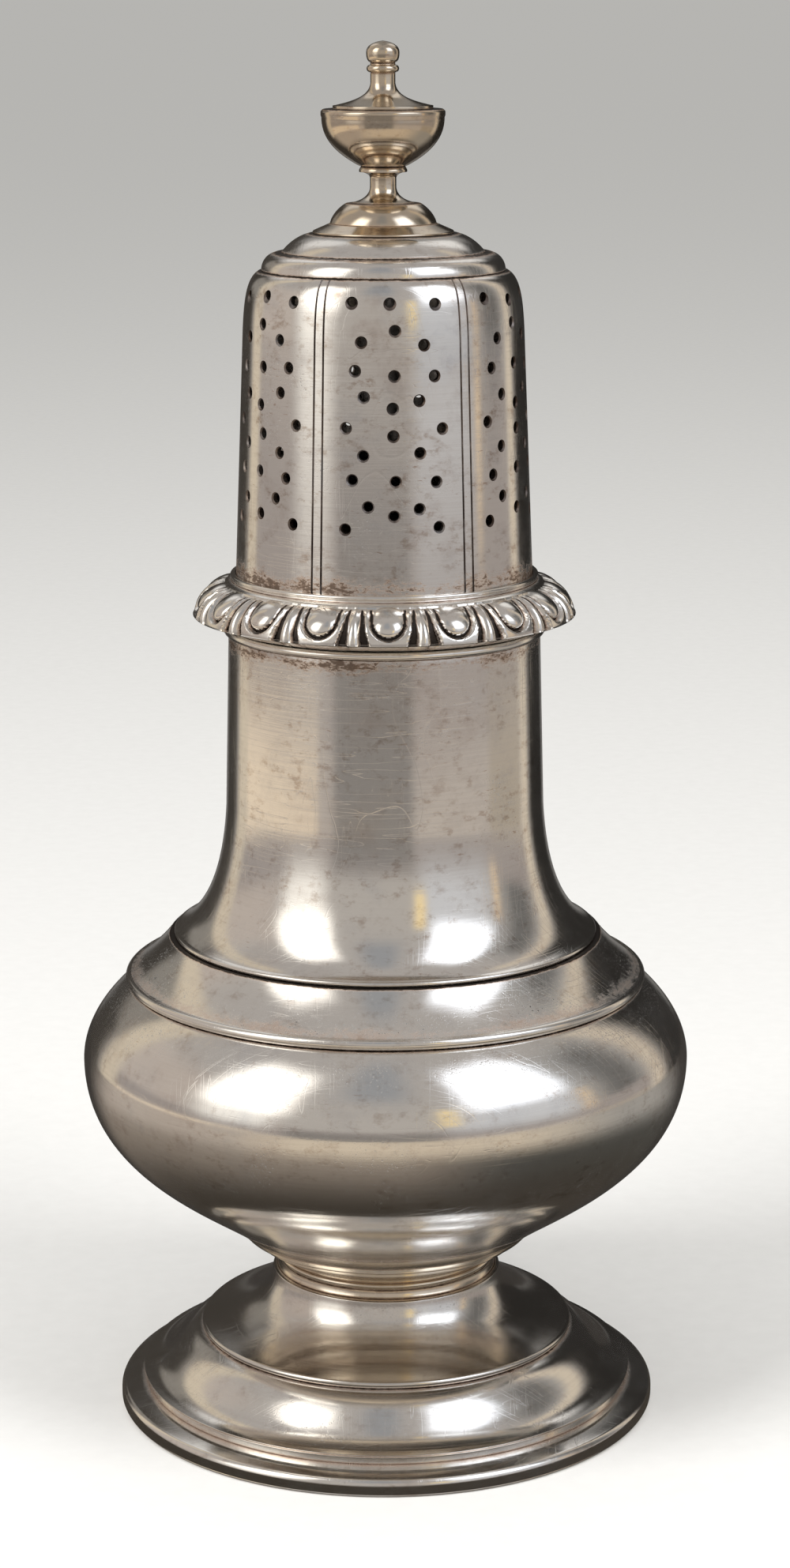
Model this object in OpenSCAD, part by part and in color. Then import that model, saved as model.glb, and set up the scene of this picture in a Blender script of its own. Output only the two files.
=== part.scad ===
// Silver sugar caster: a pedestal body with a pierced cover that lifts off

/* [Sheet and fits] */
// Thickness of the raised sheet silver
sheet_t = 0.9; // [0.6:0.05:1.3]
// Radial gap between the cover's sleeve and the neck
sleeve_gap = 0.08; // [0.04:0.01:0.1]

/* [Foot] */
// Diameter over the foot rim
foot_d = 75.6; // [70:0.2:90]
// Height of the foot rim's upright edge
foot_rim_h = 2.5; // [1.6:0.1:4]
// Rounding of the foot rim's edges
foot_rim_round = 0.45; // [0.2:0.05:0.7]
// Rise of the foot rim's sloping top
foot_rim_rise = 0.7; // [0.2:0.1:1.5]
// Width of the foot rim's sloping top
foot_rim_w = 3.6; // [2:0.1:6]
// Width of the flat ledge that carries the skirt
foot_ledge_w = 1.6; // [1.4:0.1:3]
// Height of the plain band under the skirt's edge
skirt_band_h = 1.4; // [1:0.1:3]
// Overhang of the skirt's edge over its band
skirt_edge_out = 0.4; // [0.1:0.05:0.8]
// Height of the skirt with its band
skirt_h = 7.3; // [5:0.1:10]
// Inward sweep of the skirt
skirt_w = 8.5; // [6:0.1:10]
// Height of the trumpet's bottom lip
foot_lip_h = 1.0; // [0.6:0.1:1.6]
// Distance that the trumpet's lip stands proud of the skirt
foot_lip_out = 0.5; // [0.2:0.05:0.8]
// Height of the trumpet above its lip
trumpet_h = 7.6; // [5:0.1:12]
// Diameter of the trumpet's top
trumpet_top_d = 32.0; // [26:0.2:36]

/* [Collar] */
// Height of the reeded collar between the foot and the bowl
collar_h = 8.7; // [7.5:0.1:12]
// Inset of the collar's waist from the trumpet's top
waist_in = 1; // [0.5:0.05:1.2]
// Height of the bead at the collar's waist
waist_h = 1.9; // [1.5:0.1:2.6]
// Diameter of the bead's section
waist_bead_d = 0.8; // [0.5:0.1:1.2]
// Number of reeds on the collar's slope
reed_count = 2; // [1:1:3]
// Distance up the slope from the bead to the first reed
reed_start = 3.2; // [1:0.1:4]
// Width of a reed
reed_w = 2; // [1:0.1:2.2]
// Rise of a reed above the slope
reed_rise = 0.35; // [0.15:0.05:0.6]

/* [Body] */
// Diameter of the bowl's flat bottom
bowl_base_d = 47.4; // [44:0.2:54]
// Diameter of the bowl at its widest
bowl_d = 84.3; // [78:0.1:100]
// Height from the bowl's bottom to its widest line
belly_h = 22.7; // [16:0.1:32]
// Height from the widest line to the seam under the shoulder
bowl_top_h = 11.7; // [8:0.05:16]
// Diameter of the seam between bowl and shoulder
seam_d = 70.8; // [66:0.2:75]
// Height of the half-round wire over the seam
girdle_h = 1.4; // [1:0.1:2.6]
// Height of the shoulder above the seam
shoulder_h = 5.85; // [5:0.05:11]
// Diameter of the shoulder's top
shoulder_top_d = 59.8; // [54:0.2:62]
// Distance that the neck's lip is set in from the shoulder's edge
neck_lip_in = 0.6; // [0.2:0.05:1]
// Height of the neck's bottom lip
neck_lip_h = 0.75; // [0.5:0.05:1.4]
// Height of the neck's flare above its lip
neck_flare_h = 17.65; // [12:0.05:20]
// Height of the whole neck
neck_h = 42.15; // [38:0.05:60]
// Diameter of the neck above its flare
neck_d = 43.7; // [42.8:0.1:46]
// Diameter of the neck's plain top
neck_top_d = 42.5; // [40.8:0.1:42.7]
// Height of the mouth's half-round rim
mouth_rim_h = 1.1; // [0.7:0.1:1.8]
// Distance that the mouth's rim stands proud of the neck
mouth_rim_out = 0.65; // [0.4:0.05:0.9]

/* [Cover] */
// Depth of the sleeve inside the neck
sleeve_depth = 14.0; // [8:0.5:18]
// Height of the egg-and-dart border
border_h = 7.3; // [6.5:0.1:9]
// Diameter over the border's eggs
border_d = 52.2; // [50:0.2:56]
// Number of eggs round the border
egg_count = 17; // [12:1:18]
// Turn of the eggs from the front, in degrees
egg_turn = 1.4; // [-15:0.1:15]
// Radius of an egg's rounding
egg_round = 3.4; // [2.8:0.1:3.8]
// Width of the groove round an egg
egg_groove_w = 0.6; // [0.3:0.05:0.9]
// Depth of the border's ground below its eggs
egg_relief = 0.8; // [0.4:0.05:1.2]
// Height from the mouth to the top of the barrel
barrel_h = 47.8; // [40:0.2:60]
// Diameter where the barrel begins to round in
barrel_top_d = 37.7; // [36:0.1:39.2]
// Height of the barrel's rounded top
barrel_round_h = 8.0; // [6:0.2:10]
// Number of pierced panels
panel_count = 6; // [4:1:8]
// Height of the lowest row of holes above the border
row_low_gap = 8.6; // [5:0.2:13]
// Depth of the highest row of holes below the barrel's top
row_high_gap = 2.7; // [2.2:0.1:6]
// Diameter of a pierced hole
hole_d = 1.3; // [0.8:0.05:1.8]
// Width of an engraved line
line_w = 0.3; // [0.2:0.05:0.5]
// Depth of an engraved line
line_depth = 0.12; // [0.05:0.01:0.25]
// Gap between the two lines of a pair
line_gap = 1.2; // [0.8:0.1:2]
// Turn of the cover from a panel facing front
cover_turn = 3.9; // [-30:0.1:30]
// Diameter of the dome's foot
dome_d = 32.6; // [30:0.2:34]
// Height of the dome's lower band
dome_band_h = 2.4; // [1.6:0.1:3.4]
// Height of the whole dome
dome_h = 4.9; // [4:0.1:7]

/* [Finial] */
// Diameter of the plinth's flange
plinth_d = 18.8; // [16:0.2:22]
// Height of the edge of the plinth's flange
plinth_edge_h = 0.3; // [0.2:0.05:0.6]
// Height of the plinth's sloping flange
plinth_flange_h = 1.3; // [0.8:0.1:1.6]
// Height of the whole plinth
plinth_h = 3.9; // [3:0.1:6]
// Diameter of the plinth's domed part at its foot
plinth_dome_d = 14.2; // [12:0.2:15.6]
// Diameter of the plinth's flat top
plinth_top_d = 10.0; // [8:0.2:11]
// Height of the urn with its stem
urn_h = 12.3; // [11:0.1:16]
// Diameter over the urn's rim
urn_d = 16.5; // [14:0.1:20]
// Diameter of the urn's stem
stem_d = 3.5; // [2.6:0.1:5]
// Diameter of the lip between stem and urn
stem_lip_d = 6.4; // [5.6:0.1:8]
// Diameter of the urn's lid
lid_d = 13.3; // [11:0.1:13.6]
// Height of the urn's lid with its knop
lid_h = 8.8; // [8:0.1:12]
// Diameter of the lid's neck
lid_neck_d = 3.3; // [2.4:0.1:3.8]
// Diameter of the knop
knop_d = 4.4; // [4:0.1:6]
// Height of the knop
knop_h = 2.8; // [2.4:0.1:4]
// Diameter of the stud that holds the finial
stud_d = 2.5; // [2:0.1:3]
// Length of the stud inside the plinth
stud_grip = 2.5; // [1.5:0.1:2.8]
// Diameter of the washer inside the dome
washer_d = 7.0; // [6:0.1:9]
// Thickness of the washer
washer_t = 0.6; // [0.4:0.1:1]
// Width across the nut's flats
nut_w = 5.0; // [4.4:0.1:6]
// Height of the nut
nut_h = 2.0; // [1.4:0.1:3]

/* [Hidden] */
$fn = 96;
curve_steps = 16;
short_curve_steps = 6;
arc_steps = 8;

// Levels, from the table up
rim_top = foot_rim_h + foot_rim_rise;
skirt_top = rim_top + skirt_h;
trumpet_top = skirt_top + foot_lip_h + trumpet_h;
bowl_base = trumpet_top + collar_h;
belly = bowl_base + belly_h;
seam = belly + bowl_top_h;
shoulder_top = seam + shoulder_h;
neck_waist = shoulder_top + neck_lip_h + neck_flare_h;
neck_top = shoulder_top + neck_h;
mouth = neck_top + mouth_rim_h;
border_top = mouth + border_h;
barrel_base = mouth + border_h / 2;
barrel_top = mouth + barrel_h;
dome_top = barrel_top + dome_h;
plinth_top = dome_top + plinth_h;
urn_rim = plinth_top + urn_h;
lid_top = urn_rim + lid_h;

// Radii that more than one piece shares
skirt_r = foot_d / 2 - foot_rim_w;
skirt_top_r = skirt_r - skirt_w;
foot_lip_r = skirt_top_r + foot_lip_out;
trumpet_r = trumpet_top_d / 2;
bowl_base_r = bowl_base_d / 2;
seam_r = seam_d / 2;
shoulder_r = shoulder_top_d / 2;
neck_lip_r = shoulder_r - neck_lip_in;
neck_top_r = neck_top_d / 2;
bore_r = neck_top_r - sheet_t;
sleeve_r = bore_r - sleeve_gap;
border_r = border_d / 2;
dome_r = dome_d / 2;

// Seats and small reliefs
lip_seat_w = 1.6;
seat_set_in = 0.3;
bore_run_out = 2;
stud_gap = 0.1;
stud_tail = 1;
hole_overshoot = 2;

// Places on the border and the finial, as shares of a piece's height
border_edge_share = 0.22;
border_ring_share = 0.84;
stem_low_share = 0.18;
stem_high_share = 0.27;
stem_lip_share = 0.36;
cup_share = 0.40;
urn_edge_share = 0.91;
lid_edge_share = 0.05;
lid_cone_share = 0.38;
knop_wide_share = 0.46;

// Small widths on the border and the finial
border_ring_w = 1;
bead_r = 0.5;
bead_gap = 0.3;

// Shapes of the flares: how far each of a curve's two inner points is pulled out and up
trumpet_pull = [0.57, 0.12, 0.06, 0.43];
skirt_pull = [0.55, 0.06, 0.42, 0.86];
shoulder_pull = [0.70, 0.24, 0.30, 0.58];
neck_pull = [0.45, 0.12, 0.07, 0.44];
waist_pull = [0.35, 0.20, 0, 0.50];
base_pull = [0.55, 0.25, 0, 0.47];
belly_pull = [1, 0.38, 0.55, 0.75];
barrel_pull = [0.91, 0.55, 0.73, 0.89];
dome_band_pull = [1, 0.50, 0.67, 1];
dome_pull = [0.75, 0.50, 0.40, 0.90];
plinth_pull = [0.90, 0.40, 0.43, 0.80];
stem_pull = [0.44, 0.09, 0, 0.44];
stem_lip_pull = [1, 0.60, 0.44, 1];
urn_pull = [0.40, 0.25, 0, 0.55];
lid_pull = [0.34, 0.24, 0.04, 0.48];
knop_low_pull = [0.20, 0.07, 0, 0.54];
knop_top_pull = [1, 0.63, 0.50, 0.91];

// Points along a cubic curve
function cubic(a, b, c, d, steps = curve_steps) = [
    for (i = [0:steps])
        let (t = i / steps, s = 1 - t)
        a * s * s * s + b * 3 * s * s * t + c * 3 * s * t * t + d * t * t * t
];

// Points along an arc
function arc(centre, radius, from, to) = [
    for (i = [0:arc_steps])
        let (a = from + (to - from) * i / arc_steps)
        centre + radius * [cos(a), sin(a)]
];

// A curve that sweeps from a low point to a high one
function flare(low, high, pull, steps = curve_steps) =
    let (sweep = low - high)
    cubic(low,
        [high.x + pull[0] * sweep.x, low.y - pull[1] * sweep.y],
        [high.x + pull[2] * sweep.x, low.y - pull[3] * sweep.y],
        high, steps);

function reversed(p) = [for (i = [len(p) - 1:-1:0]) p[i]];

function heading(p, i) =
    let (d = p[min(i + 1, len(p) - 1)] - p[max(i - 1, 0)])
    d / norm(d);

// A climbing outline moved inwards by the thickness of the sheet
function inset(p, t) = [
    for (i = [0:len(p) - 1])
        let (d = heading(p, i))
        p[i] + t * [-d.y, d.x]
];

// The inner corner of a wall that ends in a level face
function level_end(p, i, t) = [p[i].x - t / heading(p, i).y, p[i].y];

// A flared sheet with a half-round lip at its foot, which sits on a level seat
function lipped_wall(sweep, lip_r, lip_h, seat, inner) =
    let (inner_r = lip_r - lip_seat_w)
    concat(
        [[inner_r, seat]],
        arc([lip_r - lip_h / 2, seat + lip_h / 2], lip_h / 2, -90, 90),
        sweep,
        reversed([for (p = inner) if (p.x < inner_r) p]));

module turned(outline) {
    color("silver") rotate_extrude() polygon(outline);
}

// Foot rim: a heavy drawn wire that carries the whole caster
module foot_rim() {
    r = foot_d / 2;
    e = foot_rim_round;
    turned(concat(
        [[skirt_r - foot_ledge_w, 0]],
        arc([r - e, e], e, -90, 0),
        arc([r - e, foot_rim_h - e], e, 0, 90),
        [[skirt_r, rim_top], [skirt_r - foot_ledge_w, rim_top]]));
}

// Foot skirt: the lower sheet of the foot, a double curve over a plain band, turned in at its top
module foot_skirt() {
    edge = [skirt_r + skirt_edge_out, rim_top + skirt_band_h];
    sweep = flare(edge, [skirt_top_r, skirt_top], skirt_pull);
    inner_r = skirt_r - sheet_t;
    land_r = foot_lip_r - lip_seat_w;
    land = skirt_top - sheet_t;
    inner = [for (p = inset(sweep, sheet_t)) if (p.x < inner_r && p.y < land) p];
    turned(concat(
        [[inner_r, rim_top], [skirt_r, rim_top], [skirt_r, edge.y - skirt_edge_out]],
        sweep,
        [[land_r, skirt_top], [land_r, land]],
        reversed(inner)));
}

// Foot trumpet: the upper sheet flare, lipped at its foot
module foot_trumpet() {
    low = [foot_lip_r - foot_lip_h / 2, skirt_top + foot_lip_h];
    sweep = flare(low, [trumpet_r, trumpet_top], trumpet_pull);
    inner = inset(sweep, sheet_t);
    turned(lipped_wall(sweep, foot_lip_r, foot_lip_h, skirt_top,
        concat([for (i = [0:curve_steps - 1]) inner[i]], [level_end(sweep, curve_steps, sheet_t)])));
}

// Foot collar: the ring between foot and bowl, a bead under a reeded slope
module foot_collar() {
    bead = waist_bead_d / 2;
    waist_r = trumpet_r - waist_in;
    waist = [waist_r, trumpet_top + waist_h];
    foot = flare([trumpet_r - waist_in / 3, trumpet_top], waist - [0, bead], waist_pull);
    low = waist + [0, bead];
    high = [bowl_base_r, bowl_base];
    slope = (high - low) / norm(high - low);
    proud = [slope.y, -slope.x];
    reeds = [
        for (i = [0:reed_count * arc_steps])
            let (u = i / arc_steps)
            low + slope * (reed_start + reed_w * u) + proud * reed_rise * abs(sin(180 * u))
    ];
    inner_r = waist_r - sheet_t;
    inner_high = high - [lip_seat_w, 0];
    inner_low = [inner_r, bowl_base - (inner_high.x - inner_r) * slope.y / slope.x];
    turned(concat(
        [[inner_r, trumpet_top]], foot,
        [for (p = arc(waist, bead, -90, 90)) if (p.y > waist.y - bead) p],
        reeds, [high, inner_high, inner_low]));
}

// Bowl: the raised round body, closed at its flat bottom
module bowl() {
    r = bowl_d / 2;
    land = seam - girdle_h / 2;
    lower = flare([bowl_base_r, bowl_base], [r, belly], base_pull);
    upper = flare([r, belly], [seam_r, land], belly_pull);
    outer = concat(lower, [for (i = [1:curve_steps]) upper[i]]);
    floor_top = bowl_base + sheet_t;
    inner = [for (p = inset(outer, sheet_t)) if (p.y > floor_top) p];
    turned(concat(
        [[0, bowl_base]], outer, [[seam_r, seam], [seam_r - sheet_t, seam]],
        reversed(inner), [[inner[0].x, floor_top], [0, floor_top]]));
}

// Girdle wire: half-round wire over the seam of the body
module girdle_wire() {
    turned(arc([seam_r, seam], girdle_h / 2, -90, 90));
}

// Shoulder: the hollow-curved sheet band between the seam and the neck, turned in at its top
module shoulder() {
    low = [seam_r - seat_set_in, seam + girdle_h / 2];
    sweep = flare(low, [shoulder_r, shoulder_top], shoulder_pull);
    land_r = neck_lip_r - lip_seat_w;
    land = shoulder_top - sheet_t;
    inner = [for (p = inset(sweep, sheet_t)) if (p.y > seam && p.y < land) p];
    turned(concat(
        [[seam_r, seam], [seam_r, low.y]],
        sweep,
        [[land_r, shoulder_top], [land_r, land]],
        reversed(inner),
        [[inner[0].x, seam]]));
}

// Neck: a flared tube, lipped at its foot and bored for the sleeve at its top
module neck() {
    low = [neck_lip_r - neck_lip_h / 2, shoulder_top + neck_lip_h];
    sweep = flare(low, [neck_d / 2, neck_waist], neck_pull);
    bore_foot = mouth - sleeve_depth - bore_run_out;
    taper = (neck_top_r - neck_d / 2) / (neck_top - neck_waist);
    bore_wall_r = max(neck_top_r, neck_d / 2 + taper * (bore_foot - neck_waist));
    turned(lipped_wall(
        concat(sweep, [[bore_wall_r, bore_foot], [neck_top_r, neck_top], [bore_r, neck_top]]),
        neck_lip_r, neck_lip_h, shoulder_top,
        concat(inset(sweep, sheet_t), [[bore_r, bore_foot]])));
}

// Mouth rim: half-round wire round the neck's top edge
module mouth_rim() {
    round = mouth_rim_h / 2;
    turned(concat(
        [[bore_r, neck_top]],
        arc([neck_top_r + mouth_rim_out - round, neck_top + round], round, -90, 90),
        [[bore_r, mouth]]));
}

// Cover sleeve: the plain tube that slips into the neck
module cover_sleeve() {
    foot = mouth - sleeve_depth;
    turned([[sleeve_r - sheet_t, foot], [sleeve_r, foot],
        [sleeve_r, barrel_base], [sleeve_r - sheet_t, barrel_base]]);
}

// The border's crest line, from its lower edge up to the small ring round the barrel
border_low = [border_r - seat_set_in, mouth + border_edge_share * border_h];
border_high = [sleeve_r + border_ring_w, mouth + border_ring_share * border_h];
function border_face(depth) =
    let (low = border_low - [depth, 0], high = border_high - [0, depth], rise = high.y - low.y)
    cubic(low, low + [0, rise / 2], high + [(low.x - high.x) / 2, 0], high, short_curve_steps);

// One egg: a ball sunk in the border's lower edge, and a rod from it up the border's slope
module egg(grow) {
    ball = [border_r - egg_round, 0, border_low.y + seat_set_in];
    slope = border_high - border_low;
    translate(ball) {
        sphere(r = egg_round + grow);
        rotate([0, atan2(slope.x, slope.y), 0])
            cylinder(r = egg_round + grow - seat_set_in / 2, h = norm(slope));
    }
}

module eggs(grow) {
    for (i = [0:egg_count - 1])
        rotate([0, 0, i * 360 / egg_count + egg_turn - 90])
            egg(grow);
}

// Cover border: the cast egg-and-dart ring round the cover's foot
module cover_border() {
    seat_r = neck_top_r + mouth_rim_out - mouth_rim_h / 2;
    back = sleeve_r + seat_set_in;
    color("silver") {
        rotate_extrude()
            polygon(concat(
                [[sleeve_r, mouth], [seat_r, mouth]],
                border_face(egg_relief),
                [[border_high.x, border_top - seat_set_in], [sleeve_r, border_top]]));
        difference() {
            rotate_extrude() polygon(concat([[back, border_low.y]], border_face(0)));
            eggs(egg_groove_w);
        }
        intersection() {
            eggs(0);
            rotate_extrude()
                polygon([[back, border_low.y], [border_r + seat_set_in, border_low.y],
                    [border_r + seat_set_in, border_high.y], [back, border_high.y]]);
        }
    }
}

// The barrel's outer face, from its seat on the sleeve up to the dome
function barrel_face() =
    let (low = [barrel_top_d / 2, barrel_top - barrel_round_h], high = [dome_r + seat_set_in, barrel_top])
    concat([[sleeve_r, barrel_base]], flare(low, high, barrel_pull, short_curve_steps));

// Rows of holes in a panel: place from the lowest row to the highest,
// spread to either side in degrees, and rise of the middle hole where there is one
hole_rows = [
    [0.00, 18.0, []],
    [0.10, 10.5, [-1.6]],
    [0.22, 16.0, [0]],
    [0.33, 11.0, []],
    [0.44, 19.0, [-1.2]],
    [0.57, 10.5, [-1.3]],
    [0.69, 16.0, [0]],
    [0.82, 11.5, [1.6]],
    [1.00, 17.5, [0]]
];
row_low = border_top + row_low_gap;
row_high = barrel_top - row_high_gap;

module hole(angle, z) {
    rotate([0, 0, angle])
        translate([dome_r - hole_overshoot, 0, z])
            rotate([0, 90, 0])
                cylinder(d = hole_d, h = sleeve_r - dome_r + 2 * hole_overshoot);
}

module panel_holes() {
    for (row = hole_rows) {
        z = row_low + (row_high - row_low) * row[0];
        for (side = [-1, 1])
            hole(side * row[1], z);
        for (rise = row[2])
            hole(0, z + rise);
    }
}

// Two engraved lines up the edge of a panel, cut past both ends of the face
module line_pair() {
    face = barrel_face();
    last = len(face) - 1;
    run = concat([face[0] - hole_overshoot * heading(face, 0)], face,
        [face[last] + hole_overshoot * heading(face, last)]);
    groove = concat(inset(run, line_depth), reversed(inset(run, -hole_overshoot)));
    for (side = [-1, 1])
        rotate([0, 0, (side * line_gap - line_w) / 2 / sleeve_r * 180 / PI])
            rotate_extrude(angle = line_w / sleeve_r * 180 / PI)
                polygon(groove);
}

// Cover barrel: the pierced and engraved sheet tube
module cover_barrel() {
    face = barrel_face();
    inner = [for (p = inset(face, sheet_t)) if (p.y < barrel_top && p.y > barrel_base) p];
    last = len(face) - 1;
    color("silver") difference() {
        rotate_extrude()
            polygon(concat(face, [level_end(face, last, sheet_t)],
                reversed([for (i = [1:len(inner) - 2]) inner[i]]),
                [[sleeve_r - sheet_t, barrel_base]]));
        for (i = [0:panel_count - 1])
            rotate([0, 0, i * 360 / panel_count + cover_turn - 90]) {
                panel_holes();
                rotate([0, 0, 180 / panel_count]) line_pair();
            }
    }
}

// Cover dome: the stepped cap, drilled for the finial's stud
module cover_dome() {
    band_r = dome_r - dome_band_h;
    flat_r = plinth_d / 2 + seat_set_in;
    step = [band_r - seat_set_in, barrel_top + dome_band_h];
    lower = flare([dome_r, barrel_top], [band_r, step.y], dome_band_pull);
    upper = flare(step, [flat_r, dome_top], dome_pull);
    under = dome_top - sheet_t;
    stud_r = stud_d / 2 + stud_gap;
    turned(concat(
        lower, upper,
        [[stud_r, dome_top], [stud_r, under], [flat_r - sheet_t, under],
            [band_r - sheet_t, step.y - sheet_t], [dome_r - lip_seat_w, barrel_top]]));
}

// Finial plinth: the round cast base of the finial, bored for the stud
module finial_plinth() {
    r = plinth_d / 2;
    flange = dome_top + plinth_flange_h;
    foot_r = plinth_dome_d / 2;
    top_r = plinth_top_d / 2;
    stud_r = stud_d / 2;
    turned(concat(
        [[stud_r, dome_top], [r, dome_top], [r, dome_top + plinth_edge_h]],
        flare([foot_r, flange], [top_r, plinth_top], plinth_pull),
        [[0, plinth_top], [0, dome_top + stud_grip], [stud_r, dome_top + stud_grip]]));
}

// Finial bowl: the cast urn on its stem
module finial_bowl() {
    r = urn_d / 2;
    stem_r = stem_d / 2;
    lip_r = stem_lip_d / 2;
    foot_r = plinth_top_d / 2 - seat_set_in;
    stem_low = plinth_top + stem_low_share * urn_h;
    stem_high = plinth_top + stem_high_share * urn_h;
    lip = plinth_top + stem_lip_share * urn_h;
    cup = plinth_top + cup_share * urn_h;
    edge = plinth_top + urn_edge_share * urn_h;
    turned(concat(
        [[0, plinth_top]],
        flare([foot_r, plinth_top], [stem_r, stem_low], stem_pull),
        flare([stem_r, stem_high], [lip_r, lip - seat_set_in], stem_lip_pull),
        [[lip_r, lip], [lip_r - seat_set_in, cup]],
        flare([lip_r, cup], [r - seat_set_in / 4, edge], urn_pull),
        [[r, edge + seat_set_in], [r, urn_rim - seat_set_in], [r - seat_set_in, urn_rim], [0, urn_rim]]));
}

// Finial lid: the urn's cast lid with its beaded neck and knop
module finial_lid() {
    r = lid_d / 2;
    neck_r = lid_neck_d / 2;
    knop_r = knop_d / 2;
    edge = urn_rim + lid_edge_share * lid_h;
    cone = urn_rim + lid_cone_share * lid_h;
    knop_low = lid_top - knop_h;
    knop_wide = knop_low + knop_wide_share * knop_h;
    bead_z = knop_low - bead_gap - bead_r;
    turned(concat(
        [[0, urn_rim], [r, urn_rim], [r, edge]],
        flare([r - seat_set_in / 2, edge], [neck_r, cone], lid_pull),
        arc([neck_r, bead_z], bead_r, -90, 90),
        flare([neck_r, knop_low], [knop_r, knop_wide], knop_low_pull, short_curve_steps),
        flare([knop_r, knop_wide], [0, lid_top], knop_top_pull, short_curve_steps)));
}

// Finial stud: the rod from the plinth down through the dome
module finial_stud() {
    foot = dome_top - sheet_t - washer_t - nut_h - stud_tail;
    color("silver")
        translate([0, 0, foot])
            cylinder(d = stud_d, h = dome_top + stud_grip - foot);
}

// Finial washer: spreads the nut's pull on the thin dome
module finial_washer() {
    color("silver")
        translate([0, 0, dome_top - sheet_t - washer_t])
            difference() {
                cylinder(d = washer_d, h = washer_t);
                translate([0, 0, -hole_overshoot])
                    cylinder(d = stud_d + 2 * stud_gap, h = washer_t + 2 * hole_overshoot);
            }
}

// Finial nut: clamps the finial to the dome
module finial_nut() {
    color("silver")
        translate([0, 0, dome_top - sheet_t - washer_t - nut_h])
            difference() {
                cylinder(d = nut_w / cos(30), h = nut_h, $fn = 6);
                translate([0, 0, -hole_overshoot])
                    cylinder(d = stud_d, h = nut_h + 2 * hole_overshoot);
            }
}

foot_rim();
foot_skirt();
foot_trumpet();
foot_collar();
bowl();
girdle_wire();
shoulder();
neck();
mouth_rim();
cover_sleeve();
cover_border();
cover_barrel();
cover_dome();
finial_plinth();
finial_bowl();
finial_lid();
finial_stud();
finial_washer();
finial_nut();
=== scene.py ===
import math
import random

import bpy
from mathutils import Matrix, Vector


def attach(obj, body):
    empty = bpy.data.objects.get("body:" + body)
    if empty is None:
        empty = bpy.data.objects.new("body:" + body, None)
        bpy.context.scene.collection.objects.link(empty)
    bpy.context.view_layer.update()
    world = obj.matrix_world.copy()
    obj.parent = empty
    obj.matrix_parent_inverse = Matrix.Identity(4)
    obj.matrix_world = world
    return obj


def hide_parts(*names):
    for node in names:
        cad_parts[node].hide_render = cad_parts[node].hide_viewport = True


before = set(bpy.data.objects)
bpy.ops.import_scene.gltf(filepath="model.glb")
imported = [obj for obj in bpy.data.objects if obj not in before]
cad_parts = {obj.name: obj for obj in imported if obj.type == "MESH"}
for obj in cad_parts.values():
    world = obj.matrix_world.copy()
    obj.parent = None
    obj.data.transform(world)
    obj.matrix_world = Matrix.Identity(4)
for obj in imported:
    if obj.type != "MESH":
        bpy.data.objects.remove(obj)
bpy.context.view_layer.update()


# Foot rim
# The heavy wire of drawn silver on which the caster stands, soldered under the edge of the foot.
# It is turned from one outline, with its edges worn round by polishing.

# Radii, rounds and levels in mm, with those of the band and the flare that stand on the rim
RIM_R, RIM_IN_R, RIM_TOP = 37.8, 32.6, 3.2
EDGE_ROUND, WIRE_ROUND, WIRE_LEVEL = 0.6, 1.1, 1.4
BAND_R, SKIRT_TOP = 34.2, 10.5

MM = 0.001
# A corner sharper than this is worn round, over no more than a share of the sides that meet there
SHARP_CORNER, WORN_SHARE = math.radians(28), 0.4
ON_AXIS = 1e-6
# Points nearer than this, in metres, are made one: along a line, in a spun sector, and all round
JOIN_LINE, JOIN_SECTOR, JOIN_ROUND = 1e-7, 1e-6, 2e-6
SMOOTH_BELOW = math.radians(32)


def arc(centre, radius, start, end, steps=10):
    """Points of an outline along an arc, from one angle in degrees to another"""
    angles = [math.radians(start + (end - start) * i / steps) for i in range(steps + 1)]
    return [(centre[0] + radius * math.cos(a), centre[1] + radius * math.sin(a)) for a in angles]


def flare(low, high, pull, steps=30):
    """Points of an outline along a curve from a low point to a high one, drawn by two handles.
    pull gives each handle's place between the two points, across and up."""
    wide, tall = low[0] - high[0], high[1] - low[1]
    ends = (low, (high[0] + pull[0] * wide, low[1] + pull[1] * tall),
            (high[0] + pull[2] * wide, low[1] + pull[3] * tall), high)
    points = []
    for i in range(steps + 1):
        t = i / steps
        weights = ((1 - t) ** 3, 3 * t * (1 - t) ** 2, 3 * t * t * (1 - t), t ** 3)
        points.append(tuple(sum(w * p[k] for w, p in zip(weights, ends)) for k in (0, 1)))
    return points


def softened(outline, radius):
    """A closed outline with its sharp corners worn round"""
    worn = []
    for i, here in enumerate(outline):
        corner = Vector(here)
        back = Vector(outline[i - 1]) - corner
        ahead = Vector(outline[(i + 1) % len(outline)]) - corner
        if here[0] < ON_AXIS or math.pi - back.angle(ahead, math.pi) < SHARP_CORNER:
            worn.append(here)
            continue
        reach = min(radius, WORN_SHARE * back.length, WORN_SHARE * ahead.length)
        a, b = corner + reach * back.normalized(), corner + reach * ahead.normalized()
        for t in (0, 0.25, 0.5, 0.75, 1):
            worn.append(tuple(a * (1 - t) ** 2 + corner * 2 * t * (1 - t) + b * t * t))
    return worn


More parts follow.
